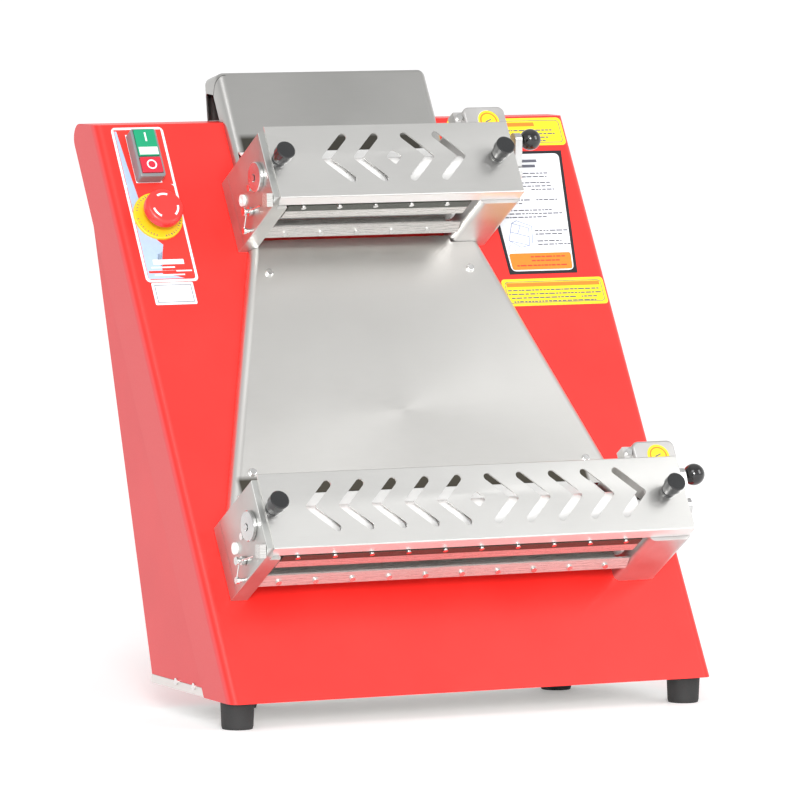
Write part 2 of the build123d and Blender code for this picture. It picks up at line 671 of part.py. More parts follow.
def gap_lever(head):
    s, n = head.lever
    turn = radians(head.lever_deg)
    tip = (s + LEVER_ARM * cos(turn), n + LEVER_ARM * sin(turn))
    x0, x1 = head.right + 0.4, head.right + 12.6
    middle = ((s + tip[0]) / 2, (n + tip[1]) / 2)
    with BuildPart() as lever:
        rod(x0, x1, head.lever, 9.5)
        with BuildSketch(side(x0 + 4)) as arm:
            with Locations(Location((*middle, 0), (0, 0, head.lever_deg))):
                SlotCenterToCenter(LEVER_ARM, 14.0)
        extrude(arm.sketch, amount=x1 - x0 - 4)
        fillet(lever.faces().sort_by(Axis.X)[-1].edges(), 1.0)
        rod(x1 - 1, x1 + 9, tip, 3.0)
        rod(x0 - 1, x1 + 1, head.lever, LEVER_SHAFT_R, Mode.SUBTRACT)
    write(lever, head.name + "_gap_lever")


def lever_ball(head):
    s, n = head.lever
    turn = radians(head.lever_deg)
    tip = (s + LEVER_ARM * cos(turn), n + LEVER_ARM * sin(turn))
    radius = 11.0
    with BuildPart() as ball:
        with Locations(side(head.right + 24.0).from_local_coords((*tip, 0))):
            Sphere(radius)
        rod(head.right + 10, head.right + 21.6, tip, 3.0, Mode.SUBTRACT)
    write(ball, head.name + "_lever_ball")


def gear(head, label, centre, tooth_deg, bore, hub_to=0.0):
    s, n = centre
    outline = []
    for k in range(TEETH):
        for radius, half in ((ROOT_R, -2.1), (TIP_R, -0.75), (TIP_R, 0.75), (ROOT_R, 2.1)):
            angle = radians(tooth_deg + 360 / TEETH * k) + atan2(half, radius)
            reach = hypot(half, radius)
            outline.append((s + reach * cos(angle), n + reach * sin(angle)))
    with BuildPart() as wheel:
        prism(head.gear, head.gear + GEAR_W, outline)
        if hub_to:
            rod(head.gear + GEAR_W, head.pulley, centre, 10.0)
            grooved_pulley(head.pulley, centre)
        rod(head.gear - 1, head.right, centre, bore, Mode.SUBTRACT)
    write(wheel, head.name + "_" + label)


def head_gears(head):
    """The front gear's gap faces the rear gear's tooth along the line of centres."""
    line = degrees(atan2(head.front[1] - head.rear[1], head.front[0] - head.rear[0]))
    half_pitch = 180 / TEETH
    gear(head, "rear_gear", head.rear, 90.0, SHAFT_R, head.pulley)
    gear(head, "front_gear", head.front, 2 * line + 90 + half_pitch, HUB_R)


def front_scraper(head):
    """Holder hung from a rod behind the guard lip, and the angle strip with the blade screwed to it."""
    foot = head.foot
    x0, x1 = head.roller_start + 0.5, head.roller_end - 0.5
    tilt = 28.0
    with BuildPart() as scraper:
        rod(head.left - 0.5, head.inner_right + 3.4, (foot + ROD_S, ROD_N), ROD_R)
        block(x0, x1, foot + 7.6, foot + 9.6, 87.0, 96.0)
        block(x0, x1, foot + 4.0, foot + 7.5, 87.0, 89.4)
        block(x0, x1, foot + 3.4, foot + 5.2, 65.7, 90.6)
        block(x0, x1, foot + 4.0, foot + 18.3, 84.0, 85.5)
        with BuildSketch(side(head.left - 7.0)) as square:
            with Locations(Location((foot + 6.8, 98.4, 0), (0, 0, tilt))):
                Rectangle(13.5, 11.0)
        extrude(square.sketch, amount=6.6)
    write(scraper, head.name + "_front_scraper")


def row_of_screws(head, s, n, lean, radius):
    """Pan heads along the head, on a surface that faces down the slope and leans out."""
    turn = radians(lean)
    outward = Vector(0, -COS_F * cos(turn) - SIN_F * sin(turn), -SIN_F * cos(turn) + COS_F * sin(turn))
    seat = Plane(side(0).from_local_coords((s, n, 0)), x_dir=(1, 0, 0), z_dir=outward)
    with BuildSketch(seat) as heads:
        with Locations(*[(x, 0) for x in head.screw_x]):
            Circle(radius)
    extrude(heads.sketch, amount=1.8)


def front_scraper_screws(head):
    with BuildPart() as screws:
        row_of_screws(head, head.foot + 3.4, 88.4, 0.0, 2.6)
    write(screws, head.name + "_front_scraper_screws")


def rear_scraper(head):
    """Leaning holder bar on a pivot pin, with a blade under the rear roller."""
    foot = head.foot
    x0, x1 = head.inner_left + 0.4, head.inner_right - 0.4
    blade0, blade1 = head.roller_start + 0.5, head.roller_end - 0.5
    with BuildPart() as scraper:
        prism(x0, x1, [(foot + 0.4, 29.5), (foot + 5.4, 43.1), (foot + 7.3, 42.4), (foot + 2.3, 28.8)])
        rod(x0 - 7, x1 + 4, (foot + BAR_S, BAR_N), PIN_R)
        prism(blade0, blade1, [(foot + 1.0, 28.6), (foot + 22.9, 24.0), (foot + 22.9, 25.5),
                               (foot + 8.0, 29.5), (foot + 2.2, 33.0)])
    write(scraper, head.name + "_rear_scraper")


def rear_scraper_screws(head):
    with BuildPart() as screws:
        row_of_screws(head, head.foot + 2.15, 34.26, 20.2, 2.9)
    write(screws, head.name + "_rear_scraper_screws")


def scraper_spring(head):
    """Post, anchor and bent spring wire on the outside of the left end plate."""
    foot = head.foot
    wire_r = 0.7
    x = head.left - 6.0
    with BuildPart() as spring:
        rod(head.left - 10.0, head.left + 6, (foot + 19, 52.0), 2.5)
        rod(head.left - 10.0, head.left - 8.0, (foot + 19, 52.0), 4.2)
        rod(head.left - 4.0, head.left - 1.0, (foot + 19, 52.0), 4.6)
        rod(head.left - 7.5, head.left + 6, (foot + 5, 37.0), 2.0)
        rod(head.left - 7.5, head.left - 4.5, (foot + 5, 37.0), 3.4)
        for start, end in (((foot + 7.8, 38.5), (foot + 17, 49.5)), ((foot + 18.0, 54.0), (foot + 8.0, 85.0))):
            span = hypot(end[0] - start[0], end[1] - start[1])
            along = Vector(0, COS_F, SIN_F) * (end[0] - start[0]) + Vector(0, -SIN_F, COS_F) * (end[1] - start[1])
            with BuildSketch(Plane(origin=side(x).from_local_coords((*start, 0)), z_dir=along)) as wire:
                Circle(wire_r)
            extrude(wire.sketch, amount=span)
    write(spring, head.name + "_scraper_spring")


def guard(head):
    """Bent sheet over the rollers: face, a lip along its foot and a return along its top."""
    foot = head.foot
    s0, s1 = foot + GUARD_S, foot + 85.5
    inner_n = GUARD_OUT - SHEET
    lip0, lip1 = head.inner_left + 0.6, head.inner_right - 0.6
    middle = (head.guard_left + head.guard_right) / 2
    slot_s = foot + 47.6
    first = 46.0
    pitch = 35.4
    reach = 23.8
    with BuildPart() as cover:
        block(head.guard_left, head.guard_right, s0, s1, inner_n, GUARD_OUT)
        block(head.guard_left, head.guard_right, s0, s0 + SHEET, LIP_N, inner_n + 0.5)
        block(lip0, lip1, s1 - SHEET, s1, 97.0, inner_n + 0.5)
        outside = cover.edges().filter_by(Axis.X).group_by(OUT)[-1]
        fillet(outside, 1.2)
        for direction in (-1, 1):
            for k in range(head.chevrons):
                apex = middle + direction * (first + pitch * k)
                with BuildSketch(face(inner_n - 1)) as slot:
                    with BuildLine() as arms:
                        Polyline((apex - direction * (reach + 5.8), slot_s + reach),
                                 (apex - direction * 5.8, slot_s),
                                 (apex - direction * (reach + 5.8), slot_s - reach))
                        offset(amount=4.1, side=Side.BOTH)
                    make_face()
                extrude(slot.sketch, amount=4, mode=Mode.SUBTRACT)
        with BuildSketch(face(inner_n - 1)) as diamond:
            with Locations(Location((middle, slot_s, 0), (0, 0, 45))):
                RectangleRounded(12.4, 12.4, 2.0)
        extrude(diamond.sketch, amount=4, mode=Mode.SUBTRACT)
        holes = [(x, head.knob_s) for x in head.knobs.values()]
        post(inner_n - 1, GUARD_OUT + 1, holes, 3.3, Mode.SUBTRACT)
    write(cover, head.name + "_guard")


def guard_knob(head, place):
    x = head.knobs[place]
    foot = face().from_local_coords((x, head.knob_s, 0))
    with BuildPart() as knob:
        with BuildSketch(Plane(origin=foot, x_dir=(1, 0, 0), z_dir=(0, COS_F, SIN_F))) as half:
            with BuildLine():
                outline = [(0, 97.0), (3.0, 97.0), (3.0, 107.9), (7.4, 107.9), (7.4, 109.8), (6.4, 110.9),
                           (8.2, 113.2), (8.6, 119.6), (9.8, 121.4), (9.8, 129.9), (8.8, 131.0), (0, 131.0)]
                Polyline(*[(r, -h) for r, h in outline], close=True)
            make_face()
        revolve(half.sketch, axis=Axis(foot, (0, -SIN_F, COS_F)))
    write(knob, head.name + "_guard_knob_" + place)


if __name__ == "__main__":
    front_cover()
    rear_casing()
    base_frame()
    rubber_feet()
    slide_plate()
    upper_chute()
    casing_screws()
    label_plates()
    switch_bezel()
    push_button("start_button", 600.7, 630.9, 615.8)
    push_button("stop_button", 581.7, 599.3, 590.5)
    estop_ring()
    estop_stem()
    estop_button()
    motor()
    gearbox()
    drive_shaft()
    layshaft()
    layshaft_bracket()
    belt("lower_belt", LOWER.pulley, (DRIVE_S, DRIVE_N), LOWER.rear)
    belt("long_belt", LAY_X, (DRIVE_S, DRIVE_N), (LAY_S, LAY_N))
    belt("upper_belt", UPPER.pulley, (LAY_S, LAY_N), UPPER.rear)
    control_box()
    cable_gland()
    for head in HEADS:
        left_end_plate(head)
        gear_housing(head)
        rear_roller(head)
        front_roller(head)
        front_bushes(head)
        gap_axle(head)
        gap_lever(head)
        lever_ball(head)
        head_gears(head)
        front_scraper(head)
        front_scraper_screws(head)
        rear_scraper(head)
        rear_scraper_screws(head)
        scraper_spring(head)
        guard(head)
        guard_knob(head, "left")
        guard_knob(head, "right")
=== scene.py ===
import math
import random

import bmesh
import bpy
from mathutils import Matrix, Vector


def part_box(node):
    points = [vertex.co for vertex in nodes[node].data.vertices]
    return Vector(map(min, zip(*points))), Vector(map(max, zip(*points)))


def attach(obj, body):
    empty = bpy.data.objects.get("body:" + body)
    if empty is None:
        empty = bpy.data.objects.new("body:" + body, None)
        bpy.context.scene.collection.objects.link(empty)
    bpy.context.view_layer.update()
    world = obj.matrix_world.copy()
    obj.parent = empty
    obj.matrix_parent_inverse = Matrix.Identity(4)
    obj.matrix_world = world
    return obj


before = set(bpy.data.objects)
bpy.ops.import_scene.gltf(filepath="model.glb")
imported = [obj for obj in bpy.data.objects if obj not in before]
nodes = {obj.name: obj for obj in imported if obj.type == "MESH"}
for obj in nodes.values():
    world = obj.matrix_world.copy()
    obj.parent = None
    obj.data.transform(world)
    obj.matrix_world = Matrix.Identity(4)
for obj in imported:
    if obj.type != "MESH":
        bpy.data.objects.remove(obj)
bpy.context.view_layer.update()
scene = bpy.context.scene
MM = 0.001

# ---------------------------------------------------------------- the sloped face
SLOPE = math.radians(58.5)
UP = Vector((0, math.cos(SLOPE), math.sin(SLOPE)))
OUT = Vector((0, -math.sin(SLOPE), math.cos(SLOPE)))
ACROSS = Vector((1, 0, 0))
cover_lo, cover_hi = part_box("front_cover")
FOOT = Vector((0, cover_lo.y, cover_lo.z))


def on_face(x, s, n=0.0):
    """Point on the sloped face: x across, s up the slope, n out of it, in millimetres."""
    return FOOT + MM * (Vector((x, 0, 0)) + UP * s + OUT * n)


# ---------------------------------------------------------------- materials
def node_material(name):
    material = bpy.data.materials.new(name)
    material.use_nodes = True
    tree = material.node_tree
    shader = tree.nodes["Principled BSDF"]
    return material, tree, shader


def coordinates(tree, scale):
    """The object's own coordinates, stretched by a scale for each axis."""
    source = tree.nodes.new("ShaderNodeTexCoord")
    mapping = tree.nodes.new("ShaderNodeMapping")
    mapping.inputs["Scale"].default_value = scale
    tree.links.new(source.outputs["Object"], mapping.inputs["Vector"])
    return mapping.outputs["Vector"]


def noise(tree, scale, detail=2.0, stretch=(1, 1, 1), rough=0.5):
    node = tree.nodes.new("ShaderNodeTexNoise")
    node.inputs["Scale"].default_value = scale
    node.inputs["Detail"].default_value = detail
    node.inputs["Roughness"].default_value = rough
    tree.links.new(coordinates(tree, stretch), node.inputs["Vector"])
    return node.outputs["Fac"]


def remap(tree, value, low, high, start=0.3, end=0.7):
    node = tree.nodes.new("ShaderNodeMapRange")
    node.inputs["From Min"].default_value = start
    node.inputs["From Max"].default_value = end
    node.inputs["To Min"].default_value = low
    node.inputs["To Max"].default_value = high
    tree.links.new(value, node.inputs["Value"])
    return node.outputs["Result"]


def mix(tree, factor, first, second):
    """Between two plain colours."""
    node = tree.nodes.new("ShaderNodeMix")
    node.data_type = "RGBA"
    tree.links.new(factor, node.inputs["Factor"])
    node.inputs[6].default_value = (*first, 1)
    node.inputs[7].default_value = (*second, 1)
    return node.outputs[2]


def bump(tree, shader, height, strength, distance):
    node = tree.nodes.new("ShaderNodeBump")
    node.inputs["Strength"].default_value = strength
    node.inputs["Distance"].default_value = distance
    tree.links.new(height, node.inputs["Height"])
    tree.links.new(node.outputs["Normal"], shader.inputs["Normal"])


def combine(tree, first, second, weight):
    """First value plus a share of the second."""
    scaled = tree.nodes.new("ShaderNodeMath")
    scaled.operation = "MULTIPLY_ADD"
    tree.links.new(second, scaled.inputs[0])
    scaled.inputs[1].default_value = weight
    tree.links.new(first, scaled.inputs[2])
    return scaled.outputs[0]


def along(tree, axis):
    """Place along an axis of the sloped face in millimetres, from the object's own coordinates."""
    source = tree.nodes.new("ShaderNodeTexCoord")
    shift = tree.nodes.new("ShaderNodeVectorMath")
    shift.operation = "SUBTRACT"
    tree.links.new(source.outputs["Object"], shift.inputs[0])
    shift.inputs[1].default_value = FOOT
    dot = tree.nodes.new("ShaderNodeVectorMath")
    dot.operation = "DOT_PRODUCT"
    tree.links.new(shift.outputs["Vector"], dot.inputs[0])
    dot.inputs[1].default_value = axis / MM
    return dot.outputs["Value"]


def product(tree, first, second):
    """Two linked values multiplied."""
    node = tree.nodes.new("ShaderNodeMath")
    node.operation = "MULTIPLY"
    tree.links.new(first, node.inputs[0])
    tree.links.new(second, node.inputs[1])
    return node.outputs[0]


def inside(tree, axis, low, high, soft):
    """1 between low and high along an axis, falling to 0 over the soft distance at each end."""
    return product(tree, remap(tree, along(tree, axis), 0, 1, low - soft, low),
                   remap(tree, along(tree, axis), 1, 0, high, high + soft))


def within(tree, zone):
    """1 inside a zone, given as (axis, low, high, soft) rows."""
    factor = inside(tree, *zone[0])
    for row in zone[1:]:
        factor = product(tree, factor, inside(tree, *row))
    return factor


def blend(tree, kind, factor, colour, second):
    """Lay a plain colour over a linked one."""
    node = tree.nodes.new("ShaderNodeMix")
    node.data_type = "RGBA"
    node.blend_type = kind
    tree.links.new(factor, node.inputs["Factor"])
    tree.links.new(colour, node.inputs[6])
    node.inputs[7].default_value = (*second, 1)
    return node.outputs[2]


def brushed(name, dark, light, rough, grain=0.12, shade=None, painted_tone=None, metallic=1.0):
    """Brushed or ground metal with fine scratches across the machine.

    shade is (zone, colour to multiply by): painted shade. The last argument is (zone, colour, metallic value
    there): a plain colour laid over that zone, painted light where it is pale and painted shade where it is
    dark.
    """
    material, tree, shader = node_material(name)
    fine = noise(tree, 2600, 3, (0.02, 1, 1))
    clouds = noise(tree, 7, 2)
    colour = mix(tree, remap(tree, combine(tree, clouds, fine, 0.25), 0, 1, 0.40, 0.85), dark, light)
    # Painted light or painted shade, by zone: a plain colour and metallic value laid over the metal.
    if painted_tone:
        zone, tone, shine = painted_tone
        factor = within(tree, zone)
        colour = blend(tree, "MIX", factor, colour, tone)
        tree.links.new(remap(tree, factor, metallic, shine, 0.0, 1.0), shader.inputs["Metallic"])
    else:
        shader.inputs["Metallic"].default_value = metallic
    if shade:
        zone, keep = shade
        colour = blend(tree, "MULTIPLY", within(tree, zone), colour, keep)
    tree.links.new(colour, shader.inputs["Base Color"])
    tree.links.new(remap(tree, fine, rough * 0.92, rough * 1.08), shader.inputs["Roughness"])
    shader.inputs["Anisotropic"].default_value = 0.3
    bump(tree, shader, fine, grain, 0.00002)
    return material


def polished(name, dark, light, rough):
    material, tree, shader = node_material(name)
    cloud = noise(tree, 40, 4)
    ring = noise(tree, 900, 2, (1, 0.05, 0.05))
    tree.links.new(mix(tree, remap(tree, cloud, 0, 1), dark, light), shader.inputs["Base Color"])
    tree.links.new(remap(tree, combine(tree, cloud, ring, 0.5), rough * 0.7, rough * 1.4, 0.4, 1.1),
                   shader.inputs["Roughness"])
    shader.inputs["Metallic"].default_value = 1.0
    bump(tree, shader, ring, 0.15, 0.00002)
    return material


def cast(name, dark, light, rough, grain=500, depth=0.00001):
    """Milled or tumbled aluminium: a soft cloudiness and a very fine grain."""
    material, tree, shader = node_material(name)
    grit = noise(tree, grain, 3, (1, 1, 1), 0.5)
    patch = noise(tree, 22, 3)
    tree.links.new(mix(tree, remap(tree, patch, 0, 1), dark, light), shader.inputs["Base Color"])
    tree.links.new(remap(tree, patch, rough * 0.9, rough * 1.1), shader.inputs["Roughness"])
    shader.inputs["Metallic"].default_value = 0.92
    bump(tree, shader, grit, 0.15, depth)
    return material


LEFT_SKIN, RIGHT_SKIN = (-270, -264), (264, 270)


def coated(name, dark, light, rough, peel=700, depth=0.00002, coat=0.3, side_sheen_shade=None):
    """Powder coat or moulded plastic: orange peel and faint unevenness of colour.

    The last argument is a darker, duller red laid on the outer skin of the two sides: painted sheen and shade.
    """
    material, tree, shader = node_material(name)
    skin = noise(tree, peel, 3)
    patch = noise(tree, 14, 3)
    colour = mix(tree, remap(tree, patch, 0, 1), dark, light)
    if side_sheen_shade:
        for low, high in (LEFT_SKIN, RIGHT_SKIN):
            colour = blend(tree, "MIX", inside(tree, ACROSS, low, high, 1.5), colour, side_sheen_shade)
    tree.links.new(colour, shader.inputs["Base Color"])
    tree.links.new(remap(tree, skin, rough * 0.92, rough * 1.08), shader.inputs["Roughness"])
    shader.inputs["Coat Weight"].default_value = coat
    shader.inputs["Coat Roughness"].default_value = 0.12
    bump(tree, shader, skin, 0.25, depth)
    return material


def printed(name, colour, rough=0.35):
    material, tree, shader = node_material(name)
    patch = noise(tree, 300, 3)
    tree.links.new(mix(tree, remap(tree, patch, 0, 1), tuple(c * 0.95 for c in colour), colour),
                   shader.inputs["Base Color"])
    shader.inputs["Roughness"].default_value = rough
    bump(tree, shader, patch, 0.1, 0.00002)
    return material


def label_backing(name, pale, yellow, ink):
    """Edges of the label plates: pale on the left, yellow and ink on the right."""
    material, tree, shader = node_material(name)
    right = (ACROSS, 120, 262, 1)
    colour = mix(tree, within(tree, (right,)), pale, yellow)
    colour = blend(tree, "MIX", within(tree, (right, (UP, 459, 606, 0.5))), colour, ink)
    tree.links.new(colour, shader.inputs["Base Color"])
    shader.inputs["Roughness"].default_value = 0.35
    return material


# The shade, bright and dusty zones imitate the photo's light by place on the object.
# Painted shade: the slide plate's flat strip under the guard is multiplied dark. Painted light: its ramp under
# the guard is laid near white and far less metallic.
STEEL = brushed("slide_stainless", (0.70, 0.69, 0.665), (0.76, 0.75, 0.725), 0.32, grain=0.06,
                shade=(((ACROSS, -204, 176, 4), (UP, 200, 236, 6), (OUT, 5, 11, 0.6)), (0.13, 0.12, 0.10)),
                painted_tone=(((UP, 140, 225, 3), (OUT, 12, 70, 0.6)), (0.95, 0.95, 0.94), 0.1))
# Painted shade and painted light on the upper chute: the flat strip under the upper guard dark, the ramp near
# white and far less metallic.
CHUTE = brushed("chute_stainless", (0.46, 0.46, 0.445), (0.52, 0.515, 0.50), 0.32, grain=0.06,
                shade=(((ACROSS, -112, 84, 4), (UP, 580, 620, 6), (OUT, 5, 11, 0.6)), (0.18, 0.17, 0.15)),
                painted_tone=(((UP, 500, 610, 3), (OUT, 12, 70, 0.6)), (0.95, 0.95, 0.94), 0.1))
# Painted light: the guard below its top sheet, the lip, is laid a paler and less metallic grey.
GUARD = brushed("guard_stainless", (0.72, 0.715, 0.695), (0.77, 0.765, 0.745), 0.32, grain=0.05,
                painted_tone=(((OUT, 90, 106.2, 0.3),), (0.80, 0.78, 0.77), 0.55))
# Painted shade: a near-black, less metallic band on both scrapers, 79.5 to 91 mm out of the face.
SCRAPER = brushed("ground_steel", (0.56, 0.55, 0.53), (0.61, 0.60, 0.58), 0.28, metallic=0.65,
                  painted_tone=(((OUT, 79.5, 91, 0.5),), (0.05, 0.055, 0.045), 0.3))
SHAFT = polished("turned_steel", (0.55, 0.55, 0.55), (0.72, 0.72, 0.71), 0.22)
ROLLER = coated("white_roller", (0.90, 0.90, 0.885), (0.94, 0.94, 0.93), 0.35, 500, 0.00001, 0.2)
CAST = cast("milled_aluminium", (0.47, 0.475, 0.46), (0.57, 0.575, 0.555), 0.40)
HOUSING = cast("cast_aluminium", (0.55, 0.54, 0.53), (0.65, 0.64, 0.63), 0.40)
SCREW = polished("zinc_screws", (0.66, 0.66, 0.65), (0.85, 0.85, 0.84), 0.20)
# Painted sheen and shade: a darker, duller red laid on the outer skin of the front cover's two sides.
SIDE_SHEEN_SHADE_RED = (0.60, 0.055, 0.059)
RED = coated("red_powder_coat", (0.80, 0.017, 0.012), (0.86, 0.022, 0.016), 0.42, 650, 0.00002, 0.10,
             side_sheen_shade=SIDE_SHEEN_SHADE_RED)
# Painted sheen and shade: the rear casing has the same red paint as the cover, laid darker and duller.
CASING_SHEEN_SHADE_RED = coated("casing_powder_coat_sheen_shade", (0.58, 0.052, 0.056), (0.62, 0.058, 0.062), 0.46, 650,
                    0.00002, 0.10)
BLACK_STEEL = coated("black_steel", (0.025, 0.025, 0.027), (0.045, 0.045, 0.05), 0.5)
GREY_CAST = coated("grey_enamel", (0.10, 0.11, 0.12), (0.16, 0.17, 0.18), 0.5, 400, 0.0001)
RUBBER = coated("black_rubber", (0.012, 0.012, 0.012), (0.03, 0.03, 0.03), 0.7, 900, 0.0001, 0.0)
BLACK_PLASTIC = coated("black_plastic", (0.012, 0.013, 0.014), (0.020, 0.021, 0.022), 0.18, 1200,
                       0.00001, 0.3)
BALL = coated("black_ball", (0.006, 0.006, 0.006), (0.010, 0.010, 0.011), 0.08, 900, 0.000005, 0.5)
BEZEL = coated("grey_bezel", (0.16, 0.17, 0.18), (0.24, 0.25, 0.26), 0.3, 900, 0.00002, 0.4)
GREEN = coated("green_lens", (0.0, 0.26, 0.12), (0.0, 0.34, 0.16), 0.15, 700, 0.00001, 0.6)
RED_LENS = coated("red_lens", (0.50, 0.01, 0.03), (0.62, 0.015, 0.04), 0.15, 700, 0.00001, 0.6)
STOP_RED = coated("stop_red", (0.72, 0.03, 0.025), (0.80, 0.04, 0.035), 0.32, 700, 0.00001, 0.2)
YELLOW = coated("yellow_plastic", (0.84, 0.55, 0.012), (0.90, 0.62, 0.02), 0.40, 800, 0.00001, 0.1)
GREY_PLASTIC = coated("grey_plastic", (0.42, 0.43, 0.44), (0.52, 0.53, 0.54), 0.5)
BRONZE = polished("bronze", (0.45, 0.30, 0.14), (0.62, 0.42, 0.2), 0.3)
WHITE = printed("print_white", (0.82, 0.83, 0.86))
INK = printed("print_black", (0.012, 0.012, 0.015))
INK_RED = printed("print_red", (0.78, 0.035, 0.025))
INK_BLUE = printed("print_blue_grey", (0.40, 0.52, 0.68))
INK_PALE = printed("print_pale", (0.66, 0.66, 0.80))
INK_YELLOW = printed("print_yellow", (0.88, 0.66, 0.02))
INK_ORANGE = printed("print_orange", (0.80, 0.22, 0.02))
INK_GREY = printed("print_grey", (0.12, 0.12, 0.15))
INK_LINE = printed("print_line", (0.20, 0.26, 0.45))

LABELS = label_backing("label_plates", (0.82, 0.83, 0.86), (0.85, 0.62, 0.06), (0.012, 0.012, 0.015))

BY_NODE = {
    "front_cover": RED, "rear_casing": CASING_SHEEN_SHADE_RED, "base_frame": STEEL, "rubber_feet": RUBBER,
    "slide_plate": STEEL, "upper_chute": CHUTE, "casing_screws": SCREW, "label_plates": LABELS,
    "switch_bezel": BEZEL, "start_button": GREEN, "stop_button": RED_LENS, "estop_ring": YELLOW,
    "estop_stem": BLACK_PLASTIC, "estop_button": STOP_RED, "motor": GREY_CAST, "gearbox": GREY_CAST,
    "drive_shaft": SHAFT, "layshaft": SHAFT, "layshaft_bracket": BLACK_STEEL, "lower_belt": RUBBER,
    "long_belt": RUBBER, "upper_belt": RUBBER, "control_box": GREY_PLASTIC, "cable_gland": BLACK_PLASTIC,
}
BY_PIECE = {
    "left_end_plate": CAST, "gear_housing": HOUSING, "rear_roller": ROLLER, "front_roller": ROLLER,
    "front_bushes": BRONZE, "gap_axle": SHAFT, "gap_lever": SHAFT, "lever_ball": BALL,
    "rear_gear": SHAFT, "front_gear": SHAFT, "front_scraper": SCRAPER, "front_scraper_screws": SCREW,
    "rear_scraper": SCRAPER, "rear_scraper_screws": SCREW, "scraper_spring": SCREW, "guard": GUARD,
    "guard_knob_left": BLACK_PLASTIC, "guard_knob_right": BLACK_PLASTIC,
}
for head in ("upper", "lower"):
    for piece, material in BY_PIECE.items():
        BY_NODE[head + "_" + piece] = material
for name, node in nodes.items():
    node.data.materials.clear()
    node.data.materials.append(BY_NODE[name])


def break_edges(node, width):
    """Small bevel on the sharp edges, so that they catch the light."""
    weld = node.modifiers.new("weld", "WELD")
    weld.merge_threshold = 0.000005
    bevel = node.modifiers.new("bevel", "BEVEL")
    bevel.width = width * MM
    bevel.segments = 2
    bevel.limit_method = "ANGLE"
    bevel.angle_limit = math.radians(50)
    bevel.harden_normals = False
    flat = node.modifiers.new("flat", "WEIGHTED_NORMAL")
    flat.weight = 100


for head in ("upper", "lower"):
    for piece, width in (("guard", 0.35), ("left_end_plate", 0.3), ("front_scraper", 0.35),
                         ("rear_scraper", 0.35)):
        break_edges(nodes[head + "_" + piece], width)


# ---------------------------------------------------------------- printed plates
def rounded(x0, x1, s0, s1, radius, steps=5):
    """Rounded rectangle outline, counter-clockwise, as (x, s) points."""
    points = []
    for cx, cs, start in ((x1 - radius, s1 - radius, 0), (x0 + radius, s1 - radius, 90),
                          (x0 + radius, s0 + radius, 180), (x1 - radius, s0 + radius, 270)):
        for k in range(steps + 1):
            turn = math.radians(start + 90 * k / steps)
            points.append((cx + radius * math.cos(turn), cs + radius * math.sin(turn)))
    return points


def softened(corners, reach, steps=4):
    """Outline of a many-sided shape with its corners rounded off."""
    points = []
    for before, corner, after in zip(corners[-1:] + corners[:-1], corners, corners[1:] + corners[:1]):
        here = Vector(corner)
        start = here + (Vector(before) - here).normalized() * reach
        end = here + (Vector(after) - here).normalized() * reach
        for k in range(steps + 1):
            t = k / steps
            points.append(tuple(start * (1 - t) ** 2 + here * (2 * t * (1 - t)) + end * t * t))
    return points


def rectangle(x0, x1, s0, s1):
    return [(x0, s0), (x1, s0), (x1, s1), (x0, s1)]


def stroke(start, end, width):
    """Thin straight bar between two (x, s) points."""
    dx, ds = end[0] - start[0], end[1] - start[1]
    length = math.hypot(dx, ds)
    ox, os_ = -ds / length * width / 2, dx / length * width / 2
    return [(start[0] - ox, start[1] - os_), (end[0] - ox, end[1] - os_),
            (end[0] + ox, end[1] + os_), (start[0] + ox, start[1] + os_)]


def arc_band(centre, inner, outer, start, end, steps=24):
    """Closed band along an arc, in (x, s)."""
    turns = [math.radians(start + (end - start) * k / steps) for k in range(steps + 1)]
    return ([(centre[0] + outer * math.cos(a), centre[1] + outer * math.sin(a)) for a in turns]
            + [(centre[0] + inner * math.cos(a), centre[1] + inner * math.sin(a)) for a in reversed(turns)])


class Print:
    """Printed areas as closed thin prisms on the sloped face, gathered in one mesh."""

    def __init__(self):
        self.mesh = bmesh.new()
        self.materials = []

    def area(self, outline, n0, n1, material):
        if material not in self.materials:
            self.materials.append(material)
        twice = sum(x0 * s1 - x1 * s0 for (x0, s0), (x1, s1) in zip(outline, outline[1:] + outline[:1]))
        if twice < 0:
            outline = outline[::-1]
        low = [self.mesh.verts.new(on_face(x, s, n0)) for x, s in outline]
        high = [self.mesh.verts.new(on_face(x, s, n1)) for x, s in outline]
        faces = [self.mesh.faces.new(high), self.mesh.faces.new(low[::-1])]
        for k in range(len(outline)):
            j = (k + 1) % len(outline)
            faces.append(self.mesh.faces.new((low[k], low[j], high[j], high[k])))
        for item in faces:
            item.material_index = self.materials.index(material)

    def frame(self, outer, inner, n0, n1, material):
        """Closed ring between two outlines with the same number of points."""
        if material not in self.materials:
            self.materials.append(material)
        count = len(outer)
        rings = [[self.mesh.verts.new(on_face(x, s, n)) for x, s in points]
                 for points, n in ((outer, n0), (outer, n1), (inner, n1), (inner, n0))]
        for a in range(4):
            b = (a + 1) % 4
            for k in range(count):
                j = (k + 1) % count
                item = self.mesh.faces.new((rings[a][k], rings[a][j], rings[b][j], rings[b][k]))
                item.material_index = self.materials.index(material)

    def build(self, name, body):
        data = bpy.data.meshes.new(name)
        bmesh.ops.triangulate(self.mesh, faces=[f for f in self.mesh.faces if len(f.verts) > 4])
        self.mesh.to_mesh(data)
        self.mesh.free()
        for material in self.materials:
            data.materials.append(material)
        piece = bpy.data.objects.new(name, data)
        scene.collection.objects.link(piece)
        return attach(piece, body)


INKED = 0.95     # share of the dashes that are drawn


def dashes(sheet, x0, x1, s, tall, n, material, seed):
    """A row of short dashes that stands for small print."""
    pick = random.Random(seed)
    x = x0
    while x < x1 - 1.5:
        length = min(pick.uniform(2.0, 7.0), x1 - x)
        if pick.random() < INKED:
            sheet.area(rectangle(x, x + length, s, s + tall), n, n + 0.04, material)
        x += length + pick.uniform(0.7, 1.3)


TOP = 0.30       # printed plates reach this height, in millimetres
STEP = 0.04      # thickness of one printed layer


